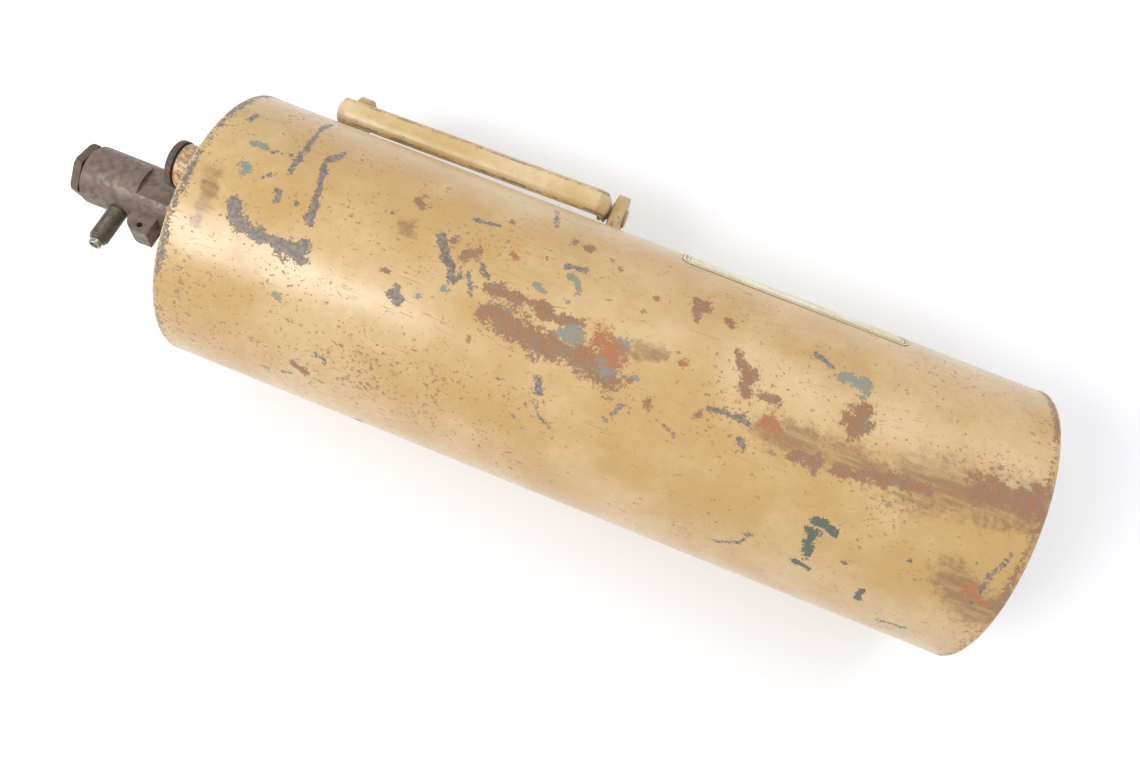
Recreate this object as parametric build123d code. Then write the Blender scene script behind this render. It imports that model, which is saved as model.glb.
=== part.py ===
from build123d import *
import math
import os

# A portable pressure cylinder lying on its side: a welded sheet-steel vessel with a key-operated shut-off
# valve, a charging nipple, a filler plug, a fold-down carrying handle and an instruction label.
#
# The model is built about the vessel's axis: +X towards the base end, +Y towards the handle, +Z up, with
# x = 0 at the middle of the barrel. Every piece is then moved so that the origin lies on the resting
# plane, under the middle of the whole object. Sizes are in millimetres and angles in degrees.
# An angle round the axis is counted from +Z towards +Y.

# ---------------------------------------------------------------- vessel
barrel_radius = 55.0
barrel_length = 327.6
shell_wall = 1.5
rim_round = 2.0
head_wall = 1.5
braze_gap = 0.05
head_flange = 14.0
head_crown = 16.0
head_knuckle = 6.0
seam_width = 13.0
seam_height = 1.5
seam_end_margin = 8.0

# ---------------------------------------------------------------- valve
valve_angle = -74.0          # the side that the nipple and the wire lug point to
valve_offset = 0.9           # the valve stands off the vessel's axis by this much, away from the handle
socket_wall = 7.0
socket_face = 18.0           # how far the socket stands out from the rim plane
socket_depth = 18.0
socket_chamfer = 2.0
washer_height = 1.5
washer_margin = 1.3          # the washer stands out this far past the body
body_radius = 12.3
body_length = 40.8           # from the washer to the body's outer face
body_edge_round = 1.4
flat_depth = 2.1             # of each of the two spanner flats
flat_length = 15.5
spigot_step = 2.1            # from the body down to the threaded spigot
spigot_length = 17.0
thread_clearance = 0.08      # radial play of a thread in its mate
passage_radius = 2.0
chamber_radius = 5.0
chamber_floor = 13.5         # above the body's lower face
packing_height = 4.0
packing_step = 3.0           # from the chamber out to the packing
gland_shank_length = 8.0
gland_gap = 0.7
hex_height = 3.5
hex_inset = 0.2              # of the hexagon's corners inside the body's edge
hex_chamfer = 0.8
square_recess_margin = 1.4
square_recess_depth = 2.9
spindle_stem_radius = 3.9
spindle_thread_radius = 5.0
square_across = 6.0
seat_disc_height = 2.0
seat_disc_play = 0.6
seat_spigot_radius = 1.8
seat_spigot_length = 1.3
seat_gap = 0.05

# wire lug on the valve body
lug_inner_height = 4.9       # above the body's lower face
lug_length = 10.9
lug_reach = 19.9             # from the valve's axis
lug_thickness = 9.4
lug_corner = 5.4
wire_hole_radius = 1.25
wire_hole_reach = 16.6
wire_hole_height = 9.7

# ---------------------------------------------------------------- charging nipple and its check core
nipple_height = 23.3         # above the body's lower face
nipple_radius = 4.0
nipple_shoulder = 27.8       # from the valve's axis
nipple_tip_wall = 0.6
nipple_reach = 30.4
nipple_root_depth = 3.4      # how far the nipple goes into the body
nipple_root_step = 0.4
nipple_stem_gap = 0.2        # between the body and the stem's threaded part
nipple_chamfer = 0.6
core_bore_radius = 2.0
core_bore_depth = 15.0
core_sleeve_length = 7.0
core_sleeve_recess = 1.2
core_fit = 0.05
core_pin_radius = 0.7
core_sleeve_bore_radius = 1.1
core_head_radius = 1.6
core_head_height = 1.0
core_travel = 1.2
core_port_radius = 1.0
spring_wire_radius = 0.18
spring_radius = 1.4
spring_pitch = 0.75

# ---------------------------------------------------------------- filler
filler_angle = 16.0
filler_offset = 32.0         # from the vessel's axis
filler_face = 12.0           # the boss's face above the rim plane
filler_boss_wall = 2.0
filler_boss_depth = 16.0
filler_bore_radius = 7.0
gasket_height = 0.7
gasket_margin = 1.5
plug_head_margin = 2.4
plug_head_height = 2.7
plug_head_round = 0.6
plug_shank_length = 9.0
plug_slot_width = 2.2
plug_slot_depth = 1.3
plug_slot_margin = 1.7       # from the slot's ends to the head's rim

# ---------------------------------------------------------------- dip tube and strainer
dip_radius = 4.0
dip_wall = 1.0
dip_socket_depth = 8.0
dip_base_clearance = 14.0    # from the strainer's end to the base head
strainer_margin = 2.0
strainer_wall = 0.9
strainer_length = 16.0
strainer_overlap = 6.0
strainer_hole_radius = 1.0
strainer_holes_round = 6

# ---------------------------------------------------------------- carrying handle
bail_length = 120.0          # over the outsides of the legs
bail_inset = 23.4            # from the valve end's rim to the handle
bail_reach = 20.5            # from the pivot to the grip's outer face
bail_width = 10.4
bail_thickness = 2.4
bail_bend_valve = 6.0
bail_cut_base = 4.0          # the base end's corner is folded twice, with a flat between
bail_edge_round = 1.1
bail_lean = 13.4             # the folded handle leans in towards the barrel
bail_skew = 0.9              # the grip's valve end sits nearer to the barrel
pivot_margin = 5.3           # how far the barrel's side lies inside the legs' near edges at the pivot
pivot_height = -8.0          # pivot's height above the vessel's axis
pivot_pin_radius = 2.5
pivot_clearance = 0.06
pin_head_margin = 1.7
pin_head_height = 1.8
pin_tail_margin = 1.3
pin_tail_height = 1.2
pin_head_gap = 0.35
lug_plate_thickness = 5.3
lug_plate_margin = 6.5       # round the pivot pin
lug_foot_spread = 1.2
washer_plate = 0.7
washer_plate_margin = 2.5
washer_gap = 0.15
weld_leg = 1.5

# ---------------------------------------------------------------- instruction label
label_gap = 35.9             # from the handle to the label
label_inset = 57.5           # from the base end's rim
label_angle_from = 54.0
label_angle_to = 150.0
label_thickness = 0.25

# ---------------------------------------------------------------- worked-out places
half_length = barrel_length / 2
bore_radius = barrel_radius - shell_wall
head_radius = bore_radius - braze_gap
lip_radius = head_radius - head_wall
spigot_radius = body_radius - spigot_step
socket_radius = spigot_radius + thread_clearance + socket_wall
washer_radius = body_radius + washer_margin
flat_width = 2 * (body_radius - flat_depth)
packing_radius = chamber_radius + packing_step
hex_across_corners = 2 * (body_radius - hex_inset)
square_recess_radius = spindle_thread_radius + square_recess_margin
seat_disc_radius = chamber_radius - seat_disc_play
nipple_root = body_radius - nipple_root_depth
nipple_root_radius = nipple_radius - nipple_root_step
nipple_tip_radius = core_bore_radius + nipple_tip_wall
filler_boss_radius = filler_bore_radius + filler_boss_wall
gasket_radius = filler_bore_radius + gasket_margin
plug_head_radius = filler_bore_radius + plug_head_margin
strainer_radius = dip_radius + strainer_margin
body_foot = socket_face + washer_height
body_face = body_foot + body_length
hex_foot = body_face + gland_gap
hex_face = hex_foot + hex_height
shank_end = hex_foot - gland_shank_length
packing_foot = shank_end - packing_height
seat_height = body_foot + chamber_floor
disc_foot = seat_height + seat_gap
disc_top = disc_foot + seat_disc_height
nipple_station = body_foot + nipple_height
plug_foot = filler_face + gasket_height
base_crown_depth = shell_wall + head_flange + head_crown
strainer_end = half_length - base_crown_depth - head_wall - dip_base_clearance
leg_outside_valve = -half_length + bail_inset
leg_outside_base = leg_outside_valve + bail_length
bail_middle = (leg_outside_valve + leg_outside_base) / 2
pivot_out = barrel_radius + pivot_margin + bail_width / 2
pin_head_radius = pivot_pin_radius + pin_head_margin
pin_tail_radius = pivot_pin_radius + pin_tail_margin
washer_plate_radius = pivot_pin_radius + washer_plate_margin
lug_plate_radius = pivot_pin_radius + lug_plate_margin
label_start = leg_outside_base + label_gap
label_end = half_length - label_inset
lug_gap = washer_plate + 2 * washer_gap
leg_starts = {"valve_end": leg_outside_valve, "base_end": leg_outside_base - bail_thickness}
overhang = 60.0              # long enough to cut through any wall here

middle_x = (half_length - (half_length + hex_face)) / 2
middle_y = (pivot_out + lug_plate_radius - barrel_radius) / 2
ride_height = barrel_radius + seam_height
to_floor = Pos(-middle_x, -middle_y, ride_height)
to_valve_axis = Pos(0, -valve_offset, 0)


def station(height):
    """The x of a point this far beyond the valve end's rim plane."""
    return -half_length - height


def rod(radius, x_from, x_to, y=0.0, z=0.0):
    """A round bar parallel to the vessel's axis."""
    middle = (x_from + x_to) / 2
    return Pos(middle, y, z) * Rot(0, 90, 0) * Cylinder(radius, abs(x_to - x_from))


def valve_rod(radius, low, high):
    """A round bar on the valve's axis, between two heights above the rim plane."""
    return rod(radius, station(low), station(high))


def round_the_axis(angle, radius):
    """The y and z of a point at this angle and distance from the vessel's axis."""
    return radius * math.sin(math.radians(angle)), radius * math.cos(math.radians(angle))


def side_plane(x, angle):
    """A plane on the vessel's axis whose z points out at this angle, with its x along the vessel."""
    out_y, out_z = round_the_axis(angle, 1.0)
    return Plane(origin=(x, 0, 0), x_dir=(1, 0, 0), z_dir=(0, out_y, out_z))


def edges_at_x(shape, x, radius):
    """The circular edges of this radius at this station."""
    return [
        e for e in shape.edges().filter_by(GeomType.CIRCLE)
        if abs(e.arc_center.X - x) < 0.01 and abs(e.radius - radius) < 0.01
    ]


# ================================================================ vessel
def barrel_shell():
    shell = rod(barrel_radius, -half_length, half_length)
    for end in (-half_length, half_length):
        shell = fillet(edges_at_x(shell, end, barrel_radius), rim_round)
    shell -= rod(bore_radius, -half_length + shell_wall, half_length - shell_wall)
    shell -= rod(lip_radius, -half_length - overhang, half_length + overhang)
    return shell


def domed_plug(radius, crown, knuckle):
    """A round plug along +X that ends in a dome whose rim is at x = 0 and whose top is at x = crown."""
    sphere_radius = (radius**2 + crown**2) / (2 * crown)
    half_angle = math.asin(radius / sphere_radius) / 2
    middle_of_arc = (
        crown - sphere_radius + sphere_radius * math.cos(half_angle),
        sphere_radius * math.sin(half_angle),
    )
    outline = Curve() + [
        Polyline((crown, 0), (-overhang, 0), (-overhang, radius), (0, radius)),
        ThreePointArc((0, radius), middle_of_arc, (crown, 0)),
    ]
    profile = make_face(outline)
    rim = [v for v in profile.vertices() if abs(v.X) < 0.01 and abs(v.Y - radius) < 0.01]
    profile = fillet(rim, knuckle)
    return revolve(profile, Axis.X)


def pressed_head():
    """One head, dome towards +X: both ends of the vessel use this pressing."""
    outside = domed_plug(head_radius, head_crown, head_knuckle)
    inside = Pos(-head_wall, 0, 0) * domed_plug(head_radius - head_wall, head_crown, head_knuckle - head_wall)
    head = outside - inside
    return head & rod(barrel_radius, -head_flange, head_crown + 1)


def top_head():
    """Dome outwards, with holes for the valve socket and the filler boss."""
    seat = -half_length + shell_wall + braze_gap
    head = Pos(seat + dome_drop(), 0, 0) * Rot(0, 180, 0) * pressed_head()
    head -= to_valve_axis * valve_rod(socket_radius + braze_gap, -overhang, overhang)
    filler_y, filler_z = round_the_axis(filler_angle, filler_offset)
    head -= rod(filler_boss_radius + braze_gap, station(-overhang), station(overhang), filler_y, filler_z)
    return head


def dome_drop():
    """How far the dome's rim lies inside the barrel's lip, so that the knuckle clears it."""
    return head_knuckle / 2


def base_head():
    """Dome inwards, with its flange under the barrel's lip."""
    rim = half_length - shell_wall - braze_gap - head_flange
    return Pos(rim, 0, 0) * Rot(0, 180, 0) * pressed_head()


def seam_strip():
    """A flat-faced cover strip over the barrel's longitudinal seam, underneath."""
    length = barrel_length - 2 * seam_end_margin
    low = -barrel_radius - seam_height
    bar = Pos(0, 0, low / 2) * Box(length, seam_width, -low)
    return bar - rod(barrel_radius, -half_length, half_length)


# ================================================================ valve
def valve_socket():
    socket = valve_rod(socket_radius, socket_face - socket_depth, socket_face)
    socket = chamfer(edges_at_x(socket, station(socket_face), socket_radius), socket_chamfer)
    return socket - valve_rod(spigot_radius + thread_clearance, -overhang, overhang)


def valve_washer():
    ring = valve_rod(washer_radius, socket_face, body_foot)
    return ring - valve_rod(spigot_radius + thread_clearance, -overhang, overhang)


def valve_body():
    body = valve_rod(body_radius, body_foot, body_face)
    body = fillet(edges_at_x(body, station(body_face), body_radius), body_edge_round)

    # two spanner flats, on the sides that face away from the nipple and the lug
    flats = side_plane(station(body_foot + flat_length / 2), valve_angle)
    keep = flats.location * Box(flat_length, flat_width, 2 * overhang)
    bar_end = valve_rod(body_radius + 1, body_foot, body_foot + flat_length)
    body -= bar_end - keep

    # the lug for a sealing wire
    lug_middle = body_foot + lug_inner_height + lug_length / 2
    lug_side = side_plane(station(lug_middle), valve_angle)
    lug = lug_side.location * Pos(0, 0, lug_reach / 2) * Box(lug_length, lug_thickness, lug_reach)
    outer_end = lug_side.location * Pos(-lug_length / 2, 0, lug_reach)
    corners = [e for e in lug.edges() if (e.center() - outer_end.position).length < 0.01]
    lug = fillet(corners, lug_corner)
    body += lug
    wire_side = side_plane(station(body_foot + wire_hole_height), valve_angle)
    body -= wire_side.location * Pos(0, 0, wire_hole_reach) * Rot(90, 0, 0) * Cylinder(wire_hole_radius, overhang)

    # the threaded spigot that screws into the socket, and the way through
    body += valve_rod(spigot_radius, body_foot - spigot_length, body_foot)
    body -= valve_rod(packing_radius + thread_clearance, packing_foot, body_face + overhang)
    body -= valve_rod(chamber_radius, seat_height, body_face)
    body -= valve_rod(passage_radius, body_foot - spigot_length - 1, seat_height + 1)
    body -= valve_rod(dip_radius + braze_gap, body_foot - spigot_length - 1,
                      body_foot - spigot_length + dip_socket_depth)
    port = side_plane(station(nipple_station), valve_angle)
    body -= port.location * Pos(0, 0, overhang / 2) * Cylinder(core_port_radius, overhang)
    socket = port.location * Pos(0, 0, nipple_root + overhang / 2)
    body -= socket * Cylinder(nipple_root_radius + braze_gap, overhang)
    return body


def gland_nut():
    """Hexagon head with a threaded shank that presses on the packing; the spindle screws through it."""
    hexagon = RegularPolygon(hex_across_corners / 2, 6)
    head = Pos(station(hex_foot), 0, 0) * Rot(0, -90, 0) * extrude(hexagon, hex_height)
    cone_height = hex_chamfer * 4
    shaper = Pos(station(hex_face) + cone_height / 2, 0, 0) * Rot(0, -90, 0)
    cone_low = hex_across_corners / 2 + cone_height * 0.6
    head_keep = shaper * Cone(cone_low, hex_across_corners / 2 - hex_chamfer, cone_height)
    head_base = valve_rod(hex_across_corners, hex_foot, hex_face - cone_height + 0.01)
    head = head & (head_keep + head_base)
    nut = head + valve_rod(packing_radius, shank_end, hex_foot)
    nut -= valve_rod(spindle_thread_radius + thread_clearance, shank_end - 1, hex_face + 1)
    nut -= valve_rod(square_recess_radius, hex_face - square_recess_depth, hex_face + 1)
    return nut


def gland_packing():
    ring = valve_rod(packing_radius, packing_foot, shank_end - seat_gap)
    return ring - valve_rod(spindle_stem_radius + thread_clearance, packing_foot - 1, shank_end + 1)


def valve_spindle():
    stem = valve_rod(spindle_stem_radius, disc_top + seat_gap, shank_end)
    thread = valve_rod(spindle_thread_radius, shank_end, hex_face - square_recess_depth)
    square_height = square_recess_depth - 0.4
    middle = hex_face - square_recess_depth + square_height / 2
    square = Pos(station(middle), 0, 0) * Box(square_height, square_across, square_across)
    tip = valve_rod(seat_spigot_radius, disc_top + seat_gap - seat_spigot_length, disc_top + seat_gap)
    return stem + thread + square + tip


def seat_disc():
    disc = valve_rod(seat_disc_radius, disc_foot, disc_top)
    pocket = valve_rod(seat_spigot_radius + core_fit, disc_top - seat_spigot_length, disc_top + 1)
    return disc - pocket


# ================================================================ charging nipple
def on_nipple(radius, low, high):
    """A round bar on the nipple's axis, between two distances from the valve's axis."""
    plane = side_plane(station(nipple_station), valve_angle)
    return plane.location * Pos(0, 0, (low + high) / 2) * Cylinder(radius, high - low)


def charging_nipple():
    stem_start = body_radius + nipple_stem_gap
    stem = on_nipple(nipple_radius, stem_start, nipple_shoulder)
    top = [e for e in stem.edges().filter_by(GeomType.CIRCLE)]
    top = sorted(top, key=lambda e: math.hypot(e.arc_center.Y, e.arc_center.Z))[-1]
    stem = chamfer(top, nipple_chamfer)
    nipple = stem + on_nipple(nipple_tip_radius, nipple_shoulder - 1, nipple_reach)
    nipple += on_nipple(nipple_root_radius, nipple_root, stem_start + 1)
    nipple -= on_nipple(core_bore_radius, nipple_reach - core_bore_depth, nipple_reach + 1)
    return nipple - on_nipple(core_port_radius, nipple_root - 1, nipple_reach)


core_sleeve_top = nipple_reach - core_sleeve_recess
core_sleeve_foot = core_sleeve_top - core_sleeve_length
core_head_top = core_sleeve_foot - core_fit
core_head_foot = core_head_top - core_head_height
spring_foot = nipple_reach - core_bore_depth + spring_wire_radius + core_fit
spring_top = core_head_foot - core_travel - spring_wire_radius - core_fit


def core_sleeve():
    sleeve = on_nipple(core_bore_radius - core_fit, core_sleeve_foot, core_sleeve_top)
    return sleeve - on_nipple(core_sleeve_bore_radius, core_sleeve_foot - 1, core_sleeve_top + 1)


def core_pin():
    pin = on_nipple(core_pin_radius, core_head_top, nipple_reach - core_fit)
    return pin + on_nipple(core_head_radius, core_head_foot, core_head_top)


def core_spring():
    """The check core's spring, drawn at the length that it has when the pin is pressed."""
    plane = side_plane(station(nipple_station), valve_angle)
    path = Helix(spring_pitch, spring_top - spring_foot, spring_radius)
    start = Plane(origin=path @ 0, z_dir=path % 0)
    coil = sweep(start * Circle(spring_wire_radius), path=path, is_frenet=True)
    return plane.location * Pos(0, 0, spring_foot) * coil


# ================================================================ filler
def filler_rod(radius, low, high):
    """A round bar on the filler's axis, between two heights above the rim plane."""
    y, z = round_the_axis(filler_angle, filler_offset)
    return rod(radius, station(low), station(high), y, z)


def filler_boss():
    boss = filler_rod(filler_boss_radius, filler_face - filler_boss_depth, filler_face)
    return boss - filler_rod(filler_bore_radius, -overhang, overhang)


def filler_gasket():
    ring = filler_rod(gasket_radius, filler_face, plug_foot)
    return ring - filler_rod(filler_bore_radius, -overhang, overhang)


def filler_plug():
    head_top = plug_foot + plug_head_height
    head = filler_rod(plug_head_radius, plug_foot, head_top)
    head = fillet(edges_at_x(head, station(head_top), plug_head_radius), plug_head_round)
    plug = head + filler_rod(filler_bore_radius - thread_clearance, plug_foot - plug_shank_length, plug_foot)
    y, z = round_the_axis(filler_angle, filler_offset)
    slot_middle = Pos(station(head_top - plug_slot_depth / 2), y, z)
    slot_length = 2 * (plug_head_radius - plug_slot_margin)
    slot = slot_middle * Box(plug_slot_depth, plug_slot_width, slot_length)
    return plug - slot


# ================================================================ dip tube
def dip_tube():
    start = station(body_foot - spigot_length + dip_socket_depth)
    tube = rod(dip_radius, start, strainer_end - strainer_length + strainer_overlap)
    return tube - rod(dip_radius - dip_wall, start - 1, strainer_end)


def strainer():
    start = strainer_end - strainer_length
    cup = rod(strainer_radius, start, strainer_end)
    cup -= rod(strainer_radius - strainer_wall, start + strainer_wall, strainer_end - strainer_wall)
    cup -= rod(dip_radius + braze_gap, start - 1, start + strainer_wall + 1)
    free = strainer_length - strainer_overlap
    for row in (0.35, 0.7):
        for turn in range(strainer_holes_round // 2):
            angle = turn * 360 / strainer_holes_round
            side = side_plane(strainer_end - free * row, angle)
            cup -= side.location * Cylinder(strainer_hole_radius, 3 * strainer_radius)
    return cup


# ================================================================ carrying handle
def corners_at(sketch, x, y):
    """The sketch's corners at this place."""
    return [v for v in sketch.vertices() if abs(v.X - x) < 0.01 and abs(v.Y - y) < 0.01]


def handle_bail():
    """A strap bent into a U. It is built flat, with x along the grip and y from the pivots to the grip."""
    half = bail_length / 2
    outer = Pos(0, bail_reach / 2) * Rectangle(bail_length, bail_reach)
    inner_height = bail_reach - bail_thickness
    inner = Pos(0, inner_height / 2) * Rectangle(bail_length - 2 * bail_thickness, inner_height)
    strap = outer - inner
    inner_half = half - bail_thickness
    strap = fillet(corners_at(strap, -half, bail_reach), bail_bend_valve)
    strap = fillet(corners_at(strap, -inner_half, inner_height), bail_bend_valve - bail_thickness)
    strap = chamfer(corners_at(strap, half, bail_reach), bail_cut_base)
    inner_cut = bail_cut_base - bail_thickness * (2 - math.sqrt(2))
    strap = chamfer(corners_at(strap, inner_half, inner_height), inner_cut)
    bail = extrude(strap, bail_width / 2, both=True)
    for side in (-1, 1):
        middle = side * (half - bail_thickness / 2)
        bail += Pos(middle, 0, 0) * Rot(0, 90, 0) * Cylinder(bail_width / 2, bail_thickness)
    long_edges = [
        e for e in bail.edges()
        if e.center().Y > bail_reach - 0.01 and abs(e.center().Z) > bail_width / 2 - 0.01
    ]
    bail = fillet(long_edges, bail_edge_round)
    bail = Rot(0, bail_skew, 0) * bail

    lean = math.radians(bail_lean)
    frame = Plane(
        origin=(bail_middle, pivot_out, pivot_height),
        x_dir=(1, 0, 0),
        z_dir=(0, -math.cos(lean), -math.sin(lean)),
    )
    bail = frame.location * bail
    hole = rod(pivot_pin_radius + pivot_clearance, leg_outside_valve - 5, leg_outside_base + 5,
               pivot_out, pivot_height)
    return bail - hole


def lug_stations():
    """Where the lug plates start and end: each stands on the base-end side of its leg of the handle."""
    stations = {}
    for name, leg_start in leg_starts.items():
        plate_start = leg_start + bail_thickness + lug_gap
        stations[name] = (plate_start, plate_start + lug_plate_thickness)
    return stations


def lug_blank(x_from, x_to, grow=0.0):
    """A lug plate before its hole: a round top on a foot that widens down to the barrel."""
    top = rod(lug_plate_radius, x_from, x_to, pivot_out, pivot_height)
    foot_half = lug_plate_radius + lug_foot_spread + grow
    pivot_angle = math.degrees(math.atan2(pivot_out, pivot_height))
    side = side_plane((x_from + x_to) / 2, pivot_angle)
    pivot_radius = math.hypot(pivot_out, pivot_height)
    low = barrel_radius - 3
    outline = Polyline(
        (-foot_half, low), (foot_half, low), (lug_plate_radius + grow, pivot_radius),
        (-lug_plate_radius - grow, pivot_radius), close=True,
    )
    plate = extrude(make_face(outline), (x_to - x_from) / 2, both=True)
    # the outline's x runs round the barrel and its y outwards
    turned = Plane(origin=side.origin, x_dir=side.x_dir.cross(side.z_dir), z_dir=side.x_dir * -1)
    foot = turned.location * plate
    return top + foot - rod(barrel_radius, -half_length, half_length)


def handle_lug(x_from, x_to):
    hole = rod(pivot_pin_radius, x_from - 1, x_to + 1, pivot_out, pivot_height)
    return lug_blank(x_from, x_to) - hole


def lug_welds():
    """A fillet of weld round the foot of each lug plate."""
    beads = []
    skin = rod(barrel_radius + weld_leg, -half_length, half_length) - rod(barrel_radius, -half_length, half_length)
    for x_from, x_to in lug_stations().values():
        # the bead on the leg's side stops halfway across the gap
        footprint = lug_blank(x_from - lug_gap / 2, x_to + weld_leg, grow=weld_leg)
        beads.append((footprint & skin) - lug_blank(x_from, x_to))
    return beads


def pivot_pin(name):
    """A headed pin through a leg and its lug plate, riveted over beyond the plate."""
    head_start = leg_starts[name] - pin_head_gap
    plate_end = lug_stations()[name][1]
    pin = rod(pivot_pin_radius, head_start, plate_end, pivot_out, pivot_height)
    pin += rod(pin_head_radius, head_start - pin_head_height, head_start, pivot_out, pivot_height)
    return pin + rod(pin_tail_radius, plate_end, plate_end + pin_tail_height, pivot_out, pivot_height)


def pivot_washers():
    rings = []
    for leg_start in leg_starts.values():
        start = leg_start + bail_thickness + washer_gap
        stop = start + washer_plate
        ring = rod(washer_plate_radius, start, stop, pivot_out, pivot_height)
        rings.append(ring - rod(pivot_pin_radius, start - 1, stop + 1, pivot_out, pivot_height))
    return rings


# ================================================================ label
def label():
    sheet = rod(barrel_radius + label_thickness, label_start, label_end)
    sheet -= rod(barrel_radius, label_start - 1, label_end + 1)
    span = label_angle_to - label_angle_from
    wedge = Pos(label_start, 0, 0) * Rot(0, 90, 0) * Cylinder(
        2 * barrel_radius, label_end - label_start, arc_size=span,
        align=(Align.NONE, Align.NONE, Align.MIN),
    )
    # the wedge starts on -Z and opens towards +Y
    return sheet & (Rot(180 - label_angle_to, 0, 0) * wedge)


# ================================================================ write the pieces
pieces = {
    "barrel_shell": barrel_shell(),
    "seam_strip": seam_strip(),
    "top_head": top_head(),
    "base_head": base_head(),
    "valve_socket": to_valve_axis * valve_socket(),
    "valve_washer": to_valve_axis * valve_washer(),
    "valve_body": to_valve_axis * valve_body(),
    "gland_nut": to_valve_axis * gland_nut(),
    "gland_packing": to_valve_axis * gland_packing(),
    "valve_spindle": to_valve_axis * valve_spindle(),
    "seat_disc": to_valve_axis * seat_disc(),
    "charging_nipple": to_valve_axis * charging_nipple(),
    "core_sleeve": to_valve_axis * core_sleeve(),
    "core_pin": to_valve_axis * core_pin(),
    "core_spring": to_valve_axis * core_spring(),
    "filler_boss": filler_boss(),
    "filler_gasket": filler_gasket(),
    "filler_plug": filler_plug(),
    "dip_tube": to_valve_axis * dip_tube(),
    "strainer": to_valve_axis * strainer(),
    "handle_bail": handle_bail(),
    "handle_lug_valve_end": handle_lug(*lug_stations()["valve_end"]),
    "handle_lug_base_end": handle_lug(*lug_stations()["base_end"]),
    "lug_welds": lug_welds(),
    "pivot_pin_valve_end": pivot_pin("valve_end"),
    "pivot_pin_base_end": pivot_pin("base_end"),
    "pivot_washers": pivot_washers(),
    "label": label(),
}

os.makedirs("parts", exist_ok=True)
for name, piece in pieces.items():
    solids = []
    for item in piece if isinstance(piece, list) else [piece]:
        solids.extend((to_floor * item).solids())
    shape = solids[0] if len(solids) == 1 else Compound(children=solids)
    export_step(shape, f"parts/{name}.step")
    box = shape.bounding_box()
    print(f"{name:22s} {len(solids)} solid(s)  {shape.volume / 1000:9.3f} cm3  "
          f"x {box.min.X:8.2f} {box.max.X:8.2f}  y {box.min.Y:7.2f} {box.max.Y:7.2f}  "
          f"z {box.min.Z:7.2f} {box.max.Z:7.2f}")
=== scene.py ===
"""A worn steel pressure cylinder lying on white paper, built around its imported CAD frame.

Lengths are in millimetres on the vessel's own axis until they are put into a mesh. On that axis x runs
from the valve end to the base end, r is the distance from the axis, and the angle psi is counted from
straight up towards the carrying handle.
"""

import logging
import math
from dataclasses import dataclass
from enum import Enum
from typing import Any, Optional, Sequence

import bmesh
import bpy
import numpy as np
from mathutils import Matrix, Vector


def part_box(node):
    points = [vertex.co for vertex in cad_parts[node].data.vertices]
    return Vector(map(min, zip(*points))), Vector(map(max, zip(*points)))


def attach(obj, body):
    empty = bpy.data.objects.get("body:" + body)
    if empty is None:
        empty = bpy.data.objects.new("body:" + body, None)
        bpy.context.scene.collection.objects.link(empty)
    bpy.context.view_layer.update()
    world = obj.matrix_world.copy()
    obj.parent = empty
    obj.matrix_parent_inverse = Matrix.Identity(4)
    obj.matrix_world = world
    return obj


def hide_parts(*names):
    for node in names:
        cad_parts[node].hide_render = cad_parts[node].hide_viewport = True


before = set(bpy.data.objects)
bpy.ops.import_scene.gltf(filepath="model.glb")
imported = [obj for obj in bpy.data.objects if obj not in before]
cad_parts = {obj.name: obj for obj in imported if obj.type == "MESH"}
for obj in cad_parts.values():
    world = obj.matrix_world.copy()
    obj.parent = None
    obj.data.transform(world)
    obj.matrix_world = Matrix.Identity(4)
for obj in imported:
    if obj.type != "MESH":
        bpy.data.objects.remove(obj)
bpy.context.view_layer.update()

logging.basicConfig(level=logging.INFO, format="%(message)s")
log = logging.getLogger("cylinder")

MM = 0.001
# mesh points closer than these, in metres, are joined: at a grid's poles, and in a CAD node's mesh
POLE_GAP = 1e-7
WELD_GAP = 2e-6
# edges that turn by more than this many degrees are rounded
SHARP_ANGLE = 32.0
Array = np.ndarray


# ---------------------------------------------------------------- places on the vessel


@dataclass(frozen=True)
class VesselAxis:
    """The vessel's axis in the row frame, taken from the barrel's own box.

    Attributes:
        middle: the middle of the barrel, in metres.
        radius: the barrel's outer radius, in mm.
        half: half the barrel's length, in mm.
    """

    middle: Vector
    radius: float
    half: float

    @classmethod
    def from_frame(cls) -> "VesselAxis":
        """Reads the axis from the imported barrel."""
        low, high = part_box("barrel_shell")
        size = high - low
        return cls((low + high) / 2, size.y / 2 / MM, size.x / 2 / MM)

    def place(self, x: Array, r: Array, psi: Array) -> Array:
        """Points at distance r from the axis.

        The height above the axis is r times the cosine of psi, and the place across is r times its sine.

        Args:
            x: places along the axis, in mm.
            r: distances from the axis, in mm.
            psi: angles from straight up, in radians.

        Returns:
            Points in metres in the row frame, with x, y and z in the last axis.
        """
        x, r, psi = np.broadcast_arrays(x, r, psi)
        local = np.stack([x, r * np.sin(psi), r * np.cos(psi)], axis=-1)
        return local * MM + np.array(self.middle)

    def world(self, local: Array) -> Array:
        """Turns points in mm from the middle of the barrel into metres in the row frame."""
        return np.asarray(local) * MM + np.array(self.middle)


AXIS = VesselAxis.from_frame()


# ---------------------------------------------------------------- meshes


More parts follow.
